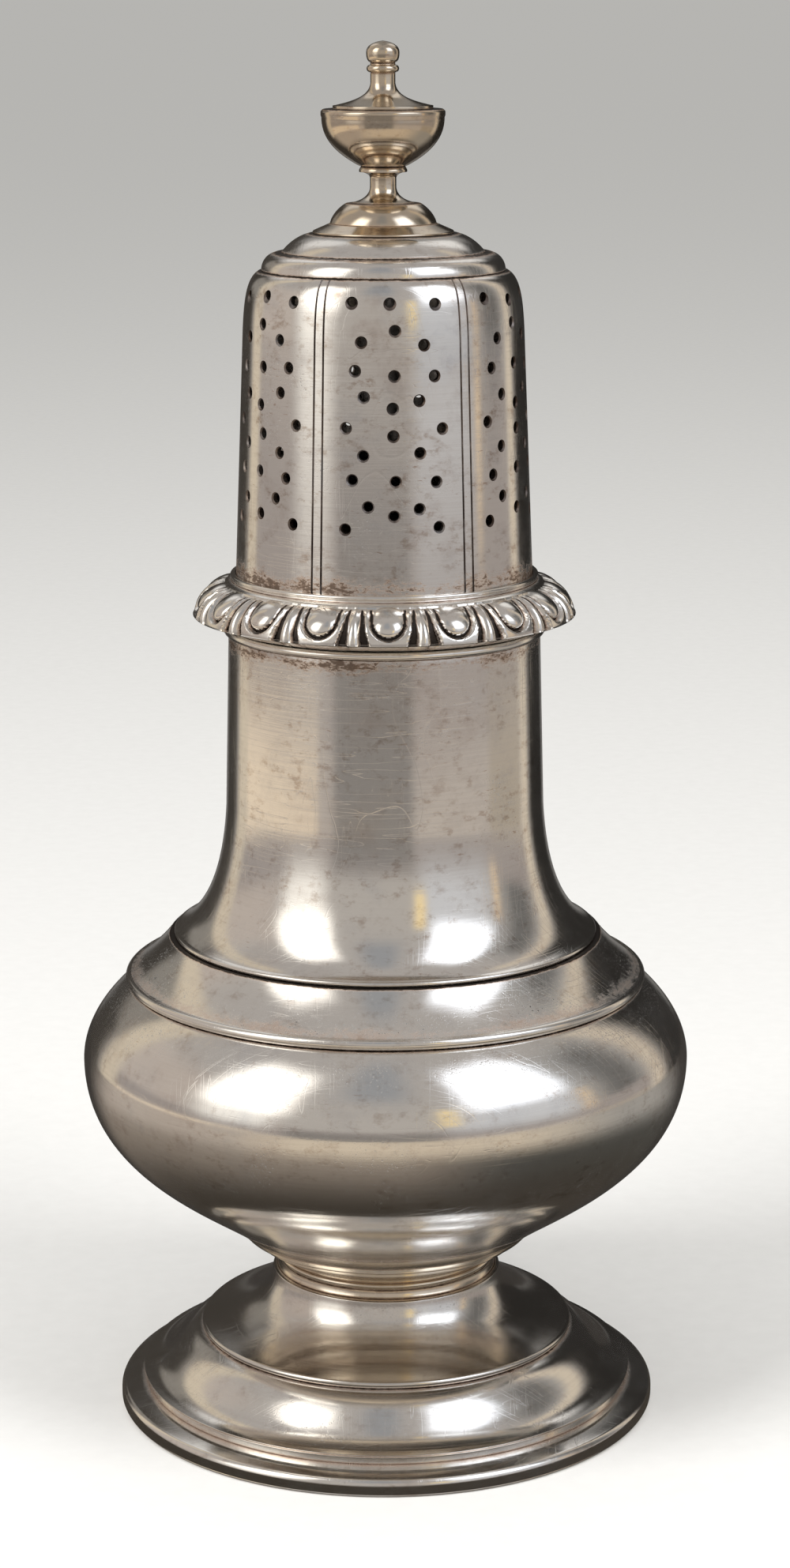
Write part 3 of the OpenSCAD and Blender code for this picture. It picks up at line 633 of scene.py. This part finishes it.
def joined(tools):
    """Several tools made one"""
    bpy.ops.object.select_all(action="DESELECT")
    for tool in tools:
        tool.select_set(True)
    bpy.context.view_layer.objects.active = tools[0]
    bpy.ops.object.join()
    return bpy.context.object


def cut(piece, tool):
    """Cuts a tool out of a piece, whose new faces keep the tool's materials"""
    bpy.ops.object.select_all(action="DESELECT")
    bpy.context.view_layer.objects.active = piece
    piece.select_set(True)
    step = piece.modifiers.new("cut", "BOOLEAN")
    step.operation, step.object = "DIFFERENCE", tool
    step.solver, step.material_mode = "MANIFOLD", "TRANSFER"
    bpy.ops.object.modifier_apply(modifier="cut")
    bpy.data.objects.remove(tool)


# One drill with a flared shank, which rubs the edge of the hole round
bpy.ops.object.select_all(action="DESELECT")
bpy.ops.mesh.primitive_cylinder_add(vertices=DRILL_SIDES, radius=HOLE_R * MM, depth=DRILL_LENGTH * MM,
                                    end_fill_type="NGON")
drill = bpy.context.object
drill.data.materials.append(cover_silver)
drill.data.materials.append(recess_shade_silver)
bpy.ops.object.mode_set(mode="EDIT")
bpy.ops.mesh.select_all(action="SELECT")
bpy.ops.transform.translate(value=(0, 0, -DRILL_IN * MM))
bpy.ops.mesh.select_all(action="DESELECT")
bpy.ops.object.mode_set(mode="OBJECT")
for polygon in drill.data.polygons:
    polygon.select = polygon.normal.z > FACES_UP
    polygon.material_index = SEEN if polygon.select else IN_CUTS
bpy.ops.object.mode_set(mode="EDIT")
bpy.ops.mesh.extrude_region_move(TRANSFORM_OT_translate={"value": (0, 0, SHANK_RISE * MM)})
bpy.ops.transform.resize(value=(SHANK_WIDEN, SHANK_WIDEN, 1))
bpy.ops.mesh.extrude_region_move(TRANSFORM_OT_translate={"value": (0, 0, SHANK_LENGTH * MM)})
bpy.ops.object.mode_set(mode="OBJECT")

hand = random.Random(1376)
drills = []
for panel in range(PANELS):
    for z, spread, rise in ROWS:
        places = [(-spread, z), (spread, z)]
        if rise is not None:
            places.append((0, z + rise))
        for degrees, height in places:
            copy = drill.copy()
            copy.data = drill.data.copy()
            bpy.context.collection.objects.link(copy)
            height += hand.uniform(-UNEVEN_UP, UNEVEN_UP)
            degrees += hand.uniform(-UNEVEN_SIDE, UNEVEN_SIDE)
            angle = math.radians(degrees + 360 * panel / PANELS) + COVER_TURN - math.pi / 2
            r = face_radius(height)
            copy.location = Vector((r * math.cos(angle), r * math.sin(angle), height)) * MM
            copy.rotation_euler = (0, math.pi / 2, angle)
            drills.append(copy)
all_drills = joined(drills)
bpy.ops.object.transform_apply(location=True, rotation=True, scale=True)
bpy.data.objects.remove(drill)
cut(barrel, all_drills)

# The graver's cut: a line up the face, drawn as a wedge
LINE_W, LINE_DEPTH, LINE_GAP, LINE_R = 0.34, 0.16, 1.3, 19.5
LINE_LOW, LINE_END = 116, (16.3, 159.5)
# The wedge's corners: place across as a share of the width, and height over the face
GRAVER = ((-0.75, 0.5), (-0.5, 0.03), (0, -LINE_DEPTH), (0.5, 0.03), (0.75, 0.5))
CORNERS = len(GRAVER)

line = [(r, z) for r, z in barrel_face if z > LINE_LOW] + [LINE_END]
wedges = []
for panel in range(PANELS):
    for side in (-1, 1):
        middle = math.radians(360 * (panel + 0.5) / PANELS) + COVER_TURN - math.pi / 2
        points, faces = [], []
        for r, z in line:
            for across, over in GRAVER:
                a = middle + (side * LINE_GAP / 2 + across * LINE_W) / LINE_R
                points.append(Vector(((r + over) * math.cos(a), (r + over) * math.sin(a), z)) * MM)
        for i in range(0, len(points) - CORNERS, CORNERS):
            for k in range(CORNERS):
                m = (k + 1) % CORNERS
                faces.append((i + k, i + m, i + CORNERS + m, i + CORNERS + k))
        faces.append(tuple(range(CORNERS)))
        faces.append(tuple(range(len(points) - 1, len(points) - 1 - CORNERS, -1)))
        mesh = bpy.data.meshes.new("graver_wedge")
        mesh.from_pydata(points, [], faces)
        wedge = bpy.data.objects.new("graver_wedge", mesh)
        bpy.context.collection.objects.link(wedge)
        mesh.materials.append(cover_silver)
        mesh.materials.append(recess_shade_silver)
        for polygon in mesh.polygons:
            polygon.material_index = IN_CUTS
        wedges.append(wedge)
all_wedges = joined(wedges)
bpy.ops.object.mode_set(mode="EDIT")
bpy.ops.mesh.select_all(action="SELECT")
bpy.ops.mesh.normals_make_consistent(inside=False)
bpy.ops.object.mode_set(mode="OBJECT")
cut(barrel, all_wedges)
bpy.ops.object.shade_smooth_by_angle(angle=math.radians(30))
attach(barrel, "cover")
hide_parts("cover_barrel")


# Dome
# The stepped cap of sheet silver, soldered on the barrel's top.
# It is spun in two steps, and drilled for the finial's stud.

DOME_R, DOME_STEP, DOME_TOP = 16.3, 161.5, 164.0
LOW_STEP_R, HIGH_STEP_R, FLAT_R = 13.9, 13.6, 9.7
STUD_HOLE_R = 1.35
DOME_IN_R, STEP_IN_R, FLAT_IN_R = 14.7, 13.0, 8.5

# The dark bands at the dome's foot and at its step are painted shadow lines
dome_silver = old_silver("dome_silver", gloss=0.13, cloud=0.35, seed=13.2, specks=0.2,
                         bands=((159.15, 0.4, 1.0), (DOME_STEP, 0.45, 1.0), (DOME_TOP, 0.3, 1.0)))
cap = turned("stepped_dome", flare((DOME_R, BARREL_TOP), (LOW_STEP_R, DOME_STEP), (1, 0.5, 0.67, 1))
             + flare((HIGH_STEP_R, DOME_STEP), (FLAT_R, DOME_TOP), (0.75, 0.5, 0.4, 0.9))
             + [(STUD_HOLE_R, DOME_TOP), (STUD_HOLE_R, DOME_TOP - SHEET), (FLAT_IN_R, DOME_TOP - SHEET),
                (STEP_IN_R, DOME_STEP - SHEET), (DOME_IN_R, BARREL_TOP)])
finish_piece(cap, dome_silver, "cover", "cover_dome")


# Finial
# Three castings turned smooth: a round base, an urn on its stem, and the urn's lid with a bead and a knop.
# A hidden stud with a washer and a nut holds them down on the dome.

FINIAL_STEPS = 192
STUD_R, STUD_TOP = 1.25, 166.5
BASE_R, BASE_EDGE, BASE_SWELL_R, BASE_STEP = 9.4, 164.3, 7.1, 165.3
BASE_TOP_R, BASE_TOP = 5.0, 167.9
STEM_LOW_R, STEM_R, STEM_LOW, STEM_TOP = 4.7, 1.75, 170.1, 171.2
KNOT_R, KNOT_IN_R, KNOT_LOW, KNOT_TOP, URN_LOW = 3.2, 2.9, 172.0, 172.3, 172.8
URN_BRIM_R, URN_BRIM, URN_R, URN_TOP = 8.15, 179.1, 8.25, 180.2
URN_ROUND = 0.3
LID_R, LID_EDGE, LID_FACE_R = 6.65, 180.64, 6.5
SHAFT_R, SHAFT_LOW, LID_BEAD, LID_BEAD_ROUND = 1.65, 183.54, 185.4, 0.5
KNOP_LOW, KNOP_R, KNOP_MIDDLE, FINIAL_TOP = 186.2, 2.2, 187.49, 189.0

finial_silver = old_silver("finial_silver", bright=(0.68, 0.59, 0.47, 1), gloss=0.13, cloud=0.7, seed=15.8,
                           specks=0.5, mottle=0.6,
                           bands=((164.05, 0.2, 0.9), (BASE_STEP, 0.2, 0.9), (167.95, 0.3, 0.9),
                                  (172.7, 0.35, 1.0), (URN_TOP, 0.3, 1.0), (184.8, 0.25, 0.8),
                                  (186.1, 0.3, 1.0)))
base = turned("finial_base", [(STUD_R, DOME_TOP), (BASE_R, DOME_TOP), (BASE_R, BASE_EDGE)]
              + flare((BASE_SWELL_R, BASE_STEP), (BASE_TOP_R, BASE_TOP), (0.90, 0.40, 0.43, 0.80))
              + [(0, BASE_TOP), (0, STUD_TOP), (STUD_R, STUD_TOP)], around=FINIAL_STEPS)
finish_piece(base, finial_silver, "cover", "finial_plinth")
urn = turned("finial_urn", [(0, BASE_TOP)]
             + flare((STEM_LOW_R, BASE_TOP), (STEM_R, STEM_LOW), (0.44, 0.09, 0, 0.44), 18)
             + flare((STEM_R, STEM_TOP), (KNOT_R, KNOT_LOW), (1, 0.60, 0.44, 1), 14)
             + [(KNOT_R, KNOT_TOP), (KNOT_IN_R, URN_LOW)]
             + flare((KNOT_R, URN_LOW), (URN_BRIM_R, URN_BRIM), (0.40, 0.25, 0, 0.55))
             + [(URN_R, URN_BRIM + URN_ROUND), (URN_R, URN_TOP - URN_ROUND), (URN_R - URN_ROUND, URN_TOP),
                (0, URN_TOP)], around=FINIAL_STEPS)
finish_piece(urn, finial_silver, "cover", "finial_bowl")
lid = turned("finial_cap", [(0, URN_TOP), (LID_R, URN_TOP), (LID_R, LID_EDGE)]
             + flare((LID_FACE_R, LID_EDGE), (SHAFT_R, SHAFT_LOW), (0.34, 0.24, 0.04, 0.48), 24)
             + arc((SHAFT_R, LID_BEAD), LID_BEAD_ROUND, -90, 90, 12)
             + flare((SHAFT_R, KNOP_LOW), (KNOP_R, KNOP_MIDDLE), (0.20, 0.07, 0, 0.54), 10)
             + flare((KNOP_R, KNOP_MIDDLE), (0, FINIAL_TOP), (1, 0.63, 0.50, 0.91), 14),
             around=FINIAL_STEPS, worn=0.06)
finish_piece(lid, finial_silver, "cover", "finial_lid")
for node in ("finial_stud", "finial_washer", "finial_nut"):
    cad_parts[node].data.materials.clear()
    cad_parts[node].data.materials.append(plain_silver)


# Studio
# A plain pale floor under soft light, and round the caster two cards that only reflections see:
# a dark one under it with a pale edge, and a shell with pale sides and soft lamps.

FLOOR_SIZE = 120
FLOOR_LOW, FLOOR_HIGH, FLOOR_GRAIN = (0.70, 0.69, 0.67, 1), (0.76, 0.75, 0.73, 1), 300
TO_DEGREES = 180 / math.pi

bpy.ops.object.select_all(action="DESELECT")
bpy.ops.mesh.primitive_plane_add(size=FLOOR_SIZE)
floor = bpy.context.object
floor.name = "floor"
pale = bpy.data.materials.new("pale_floor")
pale.use_nodes = True
pen = Wire(pale.node_tree)
grain = pen.noise(pen.node("ShaderNodeTexCoord", out=OBJECT_PLACE), FLOOR_GRAIN, 5, 0.6)
shade = pale.node_tree.nodes["Principled BSDF"]
pale.node_tree.links.new(grain.mixed(FLOOR_LOW, FLOOR_HIGH).socket, shade.inputs["Base Color"])
shade.inputs["Roughness"].default_value = 0.8
shade.inputs["Specular IOR Level"].default_value = 0.0
floor.data.materials.append(pale)
floor.visible_glossy = False


def glowing(card, name):
    """A card that only reflections see: its pen, and a function that takes the colour it glows with"""
    material = bpy.data.materials.new(name)
    material.use_nodes = True
    tree = material.node_tree
    tree.nodes.clear()
    card.name = name
    card.data.materials.append(material)
    card.visible_camera = card.visible_diffuse = card.visible_shadow = False
    card.visible_transmission = card.visible_volume_scatter = False
    pen = Wire(tree)

    def glow(colour):
        lit = pen.node("ShaderNodeEmission", None, {"Color": colour, "Strength": 1.0})
        end = tree.nodes.new("ShaderNodeOutputMaterial")
        tree.links.new(lit.socket, end.inputs["Surface"])

    return pen, glow


def side_of(pen, place):
    """How far a place is to the right of the front, in degrees round the caster"""
    return pen.math("ARCTAN2", pen.part(place, X), 0.0 - pen.part(place, Y)) * TO_DEGREES


# The shell that the silver mirrors: colours by their side and height, and then the lamps
SHELL_R, SHELL_MIDDLE = 0.75, 0.057
SHELL_LOW, SHELL_HIGH = (0.47, 0.435, 0.405, 1), (0.43, 0.40, 0.38, 1)
# From side, to side, from height, to height, softness in degrees, colour
SHELL_AREAS = (
    # Above the floor's level
    (-18, 10, 42, 75, 8, (0.32, 0.325, 0.34, 1)), (-120, -76, -5, 35, 8, (0.52, 0.455, 0.41, 1)),
    (62, 114, 0, 52, 8, (0.34, 0.325, 0.31, 1)), (90, 108, 0, 45, 6, (0.16, 0.155, 0.15, 1)),
    # At and below the floor's level
    (-118, 114, -60, 4, 3, (0.36, 0.32, 0.30, 1)), (-118, 114, -60, -6.5, 2, (0.53, 0.47, 0.42, 1)),
    (-118, -48, -60, -6.5, 2, (0.84, 0.70, 0.54, 1)), (-36, 20, -60, 2, 4, (0.25, 0.23, 0.215, 1)),
    (80, 114, -60, -6.5, 3, (0.42, 0.36, 0.29, 1)),
    # Pale edges at both sides, and the dark behind the caster with paler places in it
    (-131, -117, -70, 60, 3, (0.66, 0.57, 0.45, 1)), (115, 125, -70, 60, 3, (0.66, 0.57, 0.46, 1)),
    (-200, -133, -90, 36, 6, (0.05, 0.044, 0.038, 1)), (127, 200, -90, 44, 5, (0.025, 0.023, 0.021, 1)),
    (-200, -160, -90, -4, 4, (0.22, 0.21, 0.20, 1)), (160, 200, -90, -4, 4, (0.22, 0.21, 0.20, 1)),
    (-200, -160, 28, 90, 5, (0.30, 0.29, 0.28, 1)), (160, 200, 28, 90, 5, (0.30, 0.29, 0.28, 1)),
    (-150, -131, 12, 31, 3, (0.26, 0.24, 0.215, 1)),
    # Two soft lamps in front, each with its glow below, two small warm ones, and two behind
    (-71, -42, 2, 26, 9, (1.1, 1.05, 0.98, 1)), (-73, -39, 20, 58, 8, (2.4, 2.3, 2.15, 1)),
    (24, 76, 2, 30, 9, (0.62, 0.62, 0.64, 1)), (34, 74, 27, 62, 8, (2.2, 2.3, 2.5, 1)),
    (20, 27, 10, 30, 3, (0.95, 0.75, 0.42, 1)), (77, 82, 0, 22, 3, (0.75, 0.58, 0.40, 1)),
    (138, 162, 38, 62, 6, (0.9, 0.88, 0.86, 1)), (-164, -140, 38, 62, 6, (0.8, 0.78, 0.76, 1)))

bpy.ops.mesh.primitive_uv_sphere_add(segments=64, ring_count=32, radius=SHELL_R,
                                     location=(0, 0, SHELL_MIDDLE))
pen, glow = glowing(bpy.context.object, "mirrored_shell")
spot = pen.node("ShaderNodeVectorMath", {"operation": "NORMALIZE"},
                {0: pen.node("ShaderNodeTexCoord", out=OBJECT_PLACE)})
height = pen.math("ARCSINE", pen.part(spot, Z)) * TO_DEGREES
side = side_of(pen, spot)
colour = height.between(15, 60).mixed(SHELL_LOW, SHELL_HIGH)
for left, right, low, high, soft, tint in SHELL_AREAS:
    here = side.between(left - soft, left + soft) * (1 - side.between(right - soft, right + soft))
    here = here * height.between(low - soft, low + soft) * (1 - height.between(high - soft, high + soft))
    colour = here.mixed(colour, tint)
glow(colour)

# The dark card under the caster, which is pale towards its edge in front and dark on the right and behind
CARD_R, CARD_LEVEL = 0.36, 0.0004
NEAR_FOOT, CARD_LEFT, CARD_RIGHT = (0.05, 0.042, 0.034, 1), (0.25, 0.21, 0.175, 1), (0.07, 0.067, 0.06, 1)
EDGE_LEFT, EDGE_FRONT, EDGE_RIGHT = (0.48, 0.415, 0.36, 1), (0.66, 0.56, 0.44, 1), (0.36, 0.34, 0.315, 1)
BEHIND = (0.045, 0.04, 0.036, 1)

bpy.ops.object.select_all(action="DESELECT")
bpy.ops.mesh.primitive_circle_add(vertices=96, radius=CARD_R, fill_type="NGON",
                                  location=(0, 0, CARD_LEVEL))
pen, glow = glowing(bpy.context.object, "mirrored_card")
place = pen.node("ShaderNodeTexCoord", out=OBJECT_PLACE)
reach = pen.node("ShaderNodeVectorMath", {"operation": "LENGTH"}, {0: place}, out=1)
side = side_of(pen, place)
inner = side.between(0, 45).mixed(CARD_LEFT, CARD_RIGHT)
outer = side.between(-70, -20).mixed(EDGE_LEFT, EDGE_FRONT)
outer = side.between(35, 95).mixed(outer, EDGE_RIGHT)
colour = reach.between(0.04, 0.11).mixed(NEAR_FOOT, inner)
colour = reach.between(0.10, 0.17).mixed(colour, outer)
colour = pen.math("ABSOLUTE", side).between(110, 140).mixed(colour, BEHIND)
glow(colour)


def toward(side, height):
    """Direction from its side, in degrees to the right of the front, and its height in degrees"""
    a, h = math.radians(side), math.radians(height)
    return Vector((math.sin(a) * math.cos(h), -math.cos(a) * math.cos(h), math.sin(h)))


# Lamps that light the floor: side and height in degrees, distance and size in metres, and power
FLOOR_LAMPS = ((-48, 54, 1.2, 0.5, 9), (48, 54, 1.2, 0.5, 7))
SKY, SKY_STRENGTH = (0.80, 0.80, 0.79, 1), 0.8

for side, height, far, size, power in FLOOR_LAMPS:
    spot = toward(side, height) * far
    bpy.ops.object.light_add(type="AREA", location=spot)
    lamp = bpy.context.object
    lamp.rotation_euler = (-spot).to_track_quat("-Z", "Y").to_euler()
    lamp.data.shape, lamp.data.size, lamp.data.energy = "DISK", size, power
    lamp.visible_glossy = False

world = bpy.data.worlds.new("studio")
world.use_nodes = True
sky = world.node_tree.nodes["Background"]
sky.inputs["Color"].default_value = SKY
sky.inputs["Strength"].default_value = SKY_STRENGTH
bpy.context.scene.world = world
bpy.context.scene.view_settings.view_transform = "Standard"

# Camera at the photograph's place: a little above the caster, looking down on it
CAMERA_PLACE = (0.00162, -0.4648, 0.1965)
LOOK_DOWN, ROLL = math.radians(13.05), math.radians(0.116)
SENSOR_W, LENS = 36, 79.46

bpy.ops.object.camera_add(location=CAMERA_PLACE, rotation=(math.pi / 2 - LOOK_DOWN, ROLL, 0))
camera = bpy.context.object
camera.data.sensor_width = SENSOR_W
camera.data.lens = LENS
bpy.context.scene.camera = camera
